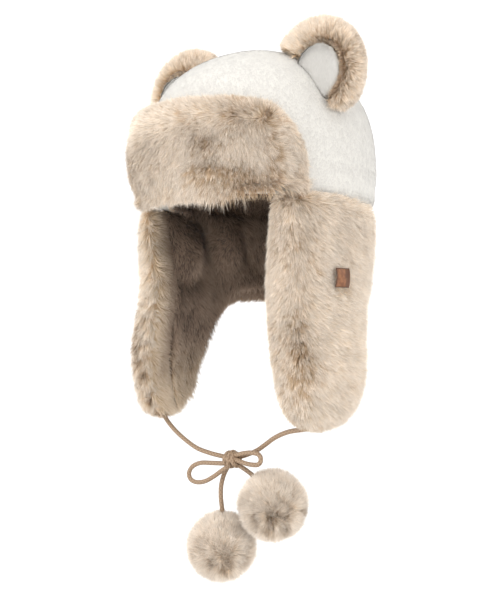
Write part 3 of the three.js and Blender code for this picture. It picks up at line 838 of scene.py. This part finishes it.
def comb_flap(roots, normals):
    """Down the flap, and away on both sides from a parting. The wearer's left flap parts behind its front
    edge, and the right flap along the middle of that edge."""
    outward, backward, angle = around_head(roots)
    drift = wander(roots, 0.06, 3)
    facing = (normals * outward).sum(1)
    spread = read_table(FLAP_PARTING, "spread", roots[:, 2])
    offset = (angle - read_table(FLAP_PARTING, "angle", roots[:, 2]) - 4 * drift[:, 0]) / spread
    front = ease(0.5, 0.0, facing) * ease(75, 60, angle)
    away = backward * (np.tanh(offset) * (1 - front))[:, None] * 0.8 - outward * front[:, None] * 0.6
    near = np.exp(-(offset**2)) * (1 - 0.6 * front)
    edge = facing - 0.15 - 0.4 * drift[:, 0] - 0.6 * wander(roots, 0.02, 8)[:, 0]
    over_edge = np.tanh(1.3 * edge)[:, None]
    away_right = 0.5 * (backward * np.abs(over_edge) + outward * over_edge)
    near_right = np.exp(-((edge / 0.6) ** 2)) * ease(100, 80, angle)
    left = roots[:, 0] > 0
    opening = read_table(FLAP_PARTING, "opening", roots[:, 2])
    upward = 1.5 * ease(-0.009, -0.001, roots[:, 2])
    lie = np.where(left[:, None], away, away_right + 0.45 * wander(roots, 0.012, 6)) + 0.25 * drift
    lie[:, 2] += upward - 1
    flat = 0.72 + 0.06 * drift[:, 1] - np.where(left, opening * near, 0.17 * near_right)
    flat -= 0.4 * ease(0.5, 0.95, -normals[:, 2])
    return lie, np.clip(flat, 0.25, 0.88)


def comb_rim(roots, normals):
    """In from the flap's edge, over the edge of the lining."""
    _, backward, angle = around_head(roots)
    inward = np.where(angle < 95, 1.0, -0.3)[:, None]
    return backward * inward + [0, 0, -0.7] + 0.3 * wander(roots, 0.04, 4), np.full(len(roots), 0.7)


# Places on the visor where the pile is ruffled open and its roots show: angle from the front, height, the
# two radii, how far it opens and how far the fibres turn away
BRIM_RUFFLES = [
    {"angle": 34, "height": 0.069, "across": 0.011, "up": 0.016, "opening": 0.30, "turn": 0.7},
    {"angle": 21, "height": 0.046, "across": 0.018, "up": 0.012, "opening": 0.38, "turn": 0.6},
    {"angle": 14, "height": 0.066, "across": 0.014, "up": 0.010, "opening": 0.18, "turn": 0.3},
    {"angle": 46, "height": 0.050, "across": 0.012, "up": 0.012, "opening": 0.16, "turn": 0.3},
    {"angle": 50, "height": 0.064, "across": 0.012, "up": 0.016, "opening": 0.05, "turn": 0.4},
    {"angle": 50, "height": 0.030, "across": 0.009, "up": 0.026, "opening": 0.26, "turn": 1.0},
    {"angle": 49, "height": 0.004, "across": 0.011, "up": 0.016, "opening": 0.16, "turn": 1.0},
    {"angle": 36, "height": 0.013, "across": 0.028, "up": 0.018, "opening": 0.40, "turn": 0.2},
    {"angle": 20, "height": 0.018, "across": 0.024, "up": 0.014, "opening": 0.34, "turn": 0.2},
]


def comb_brim(roots, normals):
    """Down and out over most of the visor, up over its top edge, and out past its ends."""
    _, backward, angle = around_head(roots)
    side = np.where(roots[:, 0] < 0, -1.0, 1.0)
    drift = wander(roots, 0.05, 5)
    turn = math.pi * 0.85 * ease(0.050, 0.082, roots[:, 2])[:, None]
    end = ease(36, 58, angle)[:, None] * (roots[:, :1] > 0)
    sideways = side[:, None] * backward * (2 * end - 1)
    lie = np.array([0, 0, -1]) * np.cos(turn) + sideways * np.sin(turn) * 0.8 + backward * end * 0.7
    lie = lie + 0.22 * drift
    lie[:, 2] -= 1.5 * ease(0.024, 0.004, roots[:, 2])
    flat = 0.70 + 0.06 * drift[:, 1]
    for ruffle in BRIM_RUFFLES:
        across = np.radians(angle * side - ruffle["angle"]) * BRIM_RADIUS
        rise = roots[:, 2] - ruffle["height"]
        near = np.exp(-((across / ruffle["across"]) ** 2) - (rise / ruffle["up"]) ** 2)
        away = backward * (side * across)[:, None] + np.array([0, 0, 1]) * rise[:, None]
        lie = lie + away / ruffle["across"] * near[:, None] * ruffle["turn"]
        flat = flat - near * ruffle["opening"]
    flat -= 0.4 * ease(0.5, 0.95, -normals[:, 2])
    return lie, np.clip(flat, 0.15, 0.85)


def comb_crown(roots, normals):
    """White plush strokes down from the top, all round."""
    outward, _, _ = around_head(roots)
    lie = outward * 0.6 + [0, 0, -0.8] + 0.3 * wander(roots, 0.07, 7)
    return lie, np.full(len(roots), 0.985)


def comb_ear(centre, disc_radius):
    """Out from the white disc and back over the rim. The pile stands steepest beside the disc."""

    def comb(roots, normals):
        away = (roots - centre) * [1, 0, 1]
        beside = ease(disc_radius + 0.017, disc_radius + 0.002, np.linalg.norm(away, axis=1))
        lie = unit(away) + [0, 0.6, -0.25] + 0.25 * wander(roots, 0.04, 9)
        return lie, 0.64 - 0.26 * beside * (normals[:, 1] < 0)

    return comb


def shorter_at_disc(centre, disc_radius):
    """The ear's pile is short beside the white disc, so that it leaves the disc bare."""

    def share(roots, normals):
        away = np.linalg.norm((roots - centre) * [1, 0, 1], axis=1)
        return 1 - 0.5 * ease(disc_radius + 0.010, disc_radius, away) * (normals[:, 1] < 0.2)

    return share


def comb_disc(roots, normals):
    lie = [0, 0, -1] + 0.4 * wander(roots, 0.03, 11)
    return lie, np.full(len(roots), 0.92)


def comb_lining(roots, normals):
    lie = [0, 0, -1] + 0.5 * wander(roots, 0.05, 13)
    return lie, np.full(len(roots), 0.6)


def comb_pompom(roots, normals):
    """Up and away from a spot low on the front, but every tuft in its own direction."""
    spot = unit(np.array([0.6, -0.5, -0.6]))
    lie = -spot + 0.5 * wander(roots, 0.012, 15)
    return lie, 0.40 + 0.04 * wander(roots, 0.02, 16)[:, 0]


# Growing

lining_points = tree_of([vertex.co for vertex in lining.data.vertices])


def off_lining(points):
    """1 where a face is clear of the lining's edge."""
    return np.array([lining_points.find(point)[2] > 0.0022 for point in points], float)


def outer_side(points, normals):
    """1 where the beige fur grows. It ends in an uneven line, a little way round the flaps' edges."""
    return ease(-0.55, -0.1, facing_out(points, normals) + 0.3 * wander(points, 0.011, 19)[:, 0])


def inner_shade(points, normals):
    """Painted shade: the beige fur's tone is made darker where it goes round the edge towards the lining.
    """
    facing = facing_out(points, normals) + 0.35 * wander(points, 0.009, 18)[:, 0]
    return 1 - 0.85 * ease(0.35, -0.45, facing)


def on_flap(side):
    """Roots on the furred faces of one side's flap, in front of the nape."""

    def density(points, normals):
        _, _, angle = around_head(points)
        return outer_side(points, normals) * (points[:, 0] * side > 0) * (angle < NAPE_ANGLE)

    return density


def on_nape(points, normals):
    _, _, angle = around_head(points)
    return outer_side(points, normals) * (angle >= NAPE_ANGLE)


def on_rim(points, normals):
    """Roots on the inner side of the flaps' and the nape's rim, beside the lining."""
    return (1 - outer_side(points, normals)) * off_lining(points)


TAB_LOW, TAB_HIGH = box_of("leather_tab")


def clear_of_tab(points, normals):
    """Fibres are short close to the leather tab, where they are pressed down."""
    gap = np.maximum(np.maximum(TAB_LOW - points, points - TAB_HIGH), 0) * [0.3, 1, 1]
    return 0.2 + 0.8 * ease(0.001, 0.008, np.linalg.norm(gap, axis=1))


def painted_light_on_ears(points, normals):
    """Painted light: the ears' pile is made a little lighter than the rest."""
    return np.full(len(points), 1.2)


def disc_front(points, normals):
    return normals[:, 1] < 0.2


def outside_visor(points, normals):
    return ease(-0.5, 0.1, facing_out(points, normals))


def brim_fringe(points):
    """How far the pile may reach out of the visor's form: it hangs over the seam at its foot."""
    return 0.002 + (0.006 + 0.0065 * ease(0.02, 0.05, points[:, 0])) * ease(0.025, 0.0, points[:, 2])


def longer_at_foot(points, normals):
    """The visor's foot rises towards the wearer's left end, so that its fringe hangs longer there."""
    return 1 + 0.65 * ease(0.02, 0.055, points[:, 0]) * ease(0.022, 0.008, points[:, 2])


def dome_outside(points, normals):
    return ease(0.1, 0.4, facing_out(points, normals) + normals[:, 2]) * (points[:, 2] > 0.002)


def longer_at_rim(points, normals):
    """The lining's plush is about twice as long where it falls over the flaps' and the nape's rim."""
    skirt = skins["flap_skirt"].data
    places, faces = read_points(skirt), read_normals(skirt)
    tree = tree_of(places[on_rim(places, faces) > 0.5])
    return 1 + 1.2 * ease(0.014, 0.004, np.array([tree.find(point)[2] for point in points]))


def lining_inside(points, normals):
    inside = -facing_out(points, normals) - 0.6 * np.maximum(normals[:, 2], 0)
    inside = ease(0.1, 0.4, inside + 0.8 * np.maximum(-normals[:, 2], 0))
    return inside * np.where(points[:, 2] > 0.03, 0.25, 1.0)


for side, sign, count in (("left", 1, 162000), ("right", -1, 95000)):
    grow_pile(
        f"flap_fur_{side}", skins["flap_skirt"].data, "beige_fur", beige_pile, count=count,
        length=0.0165, width=0.00076, comb=comb_flap, density=on_flap(sign), length_share=clear_of_tab,
        form=outlines["flap_skirt"], lock_size=20, pull=0.45, opened=0.71, loose=0.05, light=inner_shade,
        seed=20 + sign,
    )
grow_pile(
    "nape_fur", skins["flap_skirt"].data, "beige_fur", beige_pile, count=50000, length=0.0155,
    width=0.00095, comb=comb_flap, density=on_nape, form=outlines["flap_skirt"], lock_size=18, pull=0.42,
    opened=0.6, loose=0.05, seed=23,
)
grow_pile(
    "rim_plush", skins["flap_skirt"].data, "taupe_plush", taupe_pile, count=30000, length=0.0125,
    width=0.0009, comb=comb_rim, density=on_rim, lock_size=12, pull=0.35, seed=25,
)
grow_pile(
    "brim_fur", skins["front_brim"].data, "beige_fur", beige_pile, count=165000, length=0.0155,
    width=0.0007, comb=comb_brim, density=outside_visor, length_share=longer_at_foot,
    form=outlines["front_brim"], margin=brim_fringe, lock_size=20, pull=0.42, opened=0.66, loose=0.05,
    seed=31,
)
grow_pile(
    "crown_plush", skins["crown_shell"].data, "white_plush", white_pile, count=56000, length=0.0042,
    width=0.0015, comb=comb_crown, density=dome_outside, lock_size=8, pull=0.05, stray=0.02, even=1.0,
    seed=41,
)
for side, sign in (("left", 1), ("right", -1)):
    disc_low, disc_high = box_of(f"ear_inner_{side}")
    disc_middle = (disc_low + disc_high) / 2
    disc_radius = disc_high[0] / 2 - disc_low[0] / 2
    grow_pile(
        f"ear_fur_{side}", skins[f"ear_{side}"].data, "beige_fur", beige_pile, count=45000, length=0.0125,
        width=0.00065, comb=comb_ear(disc_middle, disc_radius),
        length_share=shorter_at_disc(disc_middle, disc_radius), form=outlines[f"ear_{side}"],
        lock_size=14, pull=0.4, opened=0.32, loose=0.06, light=painted_light_on_ears, seed=50 + sign,
    )
    grow_pile(
        f"ear_inner_plush_{side}", skins[f"ear_inner_{side}"].data, "white_plush", white_pile,
        count=12000, length=0.0050, width=0.0010, comb=comb_disc, density=disc_front, lock_size=6,
        pull=0.05, stray=0.04, even=1.0, seed=60 + sign,
    )
grow_pile(
    "lining_plush", lining.data, "taupe_plush", taupe_pile, count=70000, length=0.0058, width=0.0009,
    comb=comb_lining, density=lining_inside, length_share=longer_at_rim, lock_size=10, pull=0.2, seed=71,
)


POMPOM_CORE_RADIUS = 0.0255


def make_pompom(side, seed):
    """A tied ball of fur strands: a round core, and pile of nearly even length all round it."""
    low, high = box_of(f"pompom_{side}")
    form = bmesh.new()
    bmesh.ops.create_icosphere(
        form, subdivisions=4, radius=POMPOM_CORE_RADIUS, matrix=Matrix.Translation((low + high) / 2)
    )
    mesh = mesh_of(form, f"pompom_{side}_core")
    core = new_piece(f"pompom_{side}_core", mesh, beige_backing)
    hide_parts(f"pompom_{side}")
    return core, grow_pile(
        f"pompom_{side}_fur", mesh, "beige_fur", beige_pile, count=42000, length=0.0122, width=0.00085,
        comb=comb_pompom, lock_size=5, pull=0.3, stray=0.24, base=0.42, opened=0.38, seed=seed,
    )


pompoms = {side: make_pompom(side, seed) for side, seed in (("left", 81), ("right", 82))}

for side in ("right", "left"):
    make_cord(f"chin_cord_{side}")
for side in ("right", "left"):
    make_cord(f"bow_loop_{side}")
for side in ("right", "left"):
    make_cord(f"tail_cord_{side}")


# The tab: fold is the share of its width that is folded back, and bend how far, in radians
TAB_SIZE = {"width": 0.0172, "height": 0.0158, "thickness": 0.0016, "fold": 0.42, "bend": 0.35}


def make_tab():
    """A leaf of leather whose rear part is folded back. It stands out of the fur, a little bowed."""
    width, fold, bend = TAB_SIZE["width"], TAB_SIZE["fold"], TAB_SIZE["bend"]
    middle = Vector((TAB_LOW + TAB_HIGH) / 2)
    facing = Vector((middle.x / HEAD_HALF_WIDTH**2, middle.y / HEAD_HALF_DEPTH**2, 0)).normalized()
    rearward = Vector((-facing.y, facing.x, 0))
    form = bmesh.new()
    bmesh.ops.create_grid(form, x_segments=22, y_segments=16, size=0.5)
    wear_and_fold_shade = form.verts.layers.float.new("wear_and_fold_shade")
    for vert in form.verts:
        x, y = vert.co.x + 0.5, vert.co.y
        bent = max(x - (1 - fold), 0) / fold
        bow = 0.0010 * (1 - (2 * y) ** 2) - 0.0008 * (2 * y) ** 4 + 0.0005 * math.sin(5 * x + 3 * y)
        out = bow - 0.0030 * (1 - math.cos(bent * bend))
        along = width * (min(x, 1 - fold) + fold * math.sin(bent * bend) / bend)
        side = middle + rearward * (along - width * 0.58) + facing * (out + 0.0034)
        # Darkened by wear at the edges, and over the folded-back part as painted shade
        vert[wear_and_fold_shade] = max(abs(2 * y) ** 8, 0.75 * min(3 * bent, 1), (1 - x) ** 10)
        vert.co = side + Vector((0, 0, y * TAB_SIZE["height"]))
    bmesh.ops.solidify(form, geom=form.faces[:], thickness=TAB_SIZE["thickness"])
    bmesh.ops.recalc_face_normals(form, faces=form.faces)
    for face in form.faces:
        face.smooth = True
    leaf = new_piece("tab_leaf", mesh_of(form, "tab_leaf"), leather_finish)
    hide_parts("leather_tab")


make_tab()


# Floor, sky and lights

# How far the hat hangs above the floor
FLOOR_GAP = 0.09


def make_stage():
    bpy.ops.mesh.primitive_plane_add(size=12, location=(0, 0, cad_box[0][2] - FLOOR_GAP))
    floor = bpy.context.object
    floor.name = "floor"
    material, _, shader = new_material("matt_floor", 0.9)
    shader.inputs["Base Color"].default_value = linear("#f7f7f7")
    floor.data.materials.append(material)
    world = bpy.data.worlds.new("studio")
    bpy.context.scene.world = world
    world.use_nodes = True
    world.node_tree.nodes["Background"].inputs["Color"].default_value = linear("#ffffff")
    world.node_tree.nodes["Background"].inputs["Strength"].default_value = 1.25


def soft_light(name, place, aim, size, power):
    """A square area light that faces the point that it is aimed at."""
    light = bpy.data.lights.new(name, "AREA")
    light.size = size
    light.energy = power
    lamp = bpy.data.objects.new(name, light)
    bpy.context.scene.collection.objects.link(lamp)
    lamp.location = place
    lamp.rotation_euler = (Vector(aim) - Vector(place)).to_track_quat("-Z", "Y").to_euler()


make_stage()
soft_light("key", place=(-0.5, -1.7, 1.3), aim=(0, 0, -0.05), size=1.1, power=18)
soft_light("fill", place=(1.9, -0.9, 0.4), aim=(0, 0, -0.1), size=1.4, power=9)
bpy.context.scene.view_settings.view_transform = "Standard"
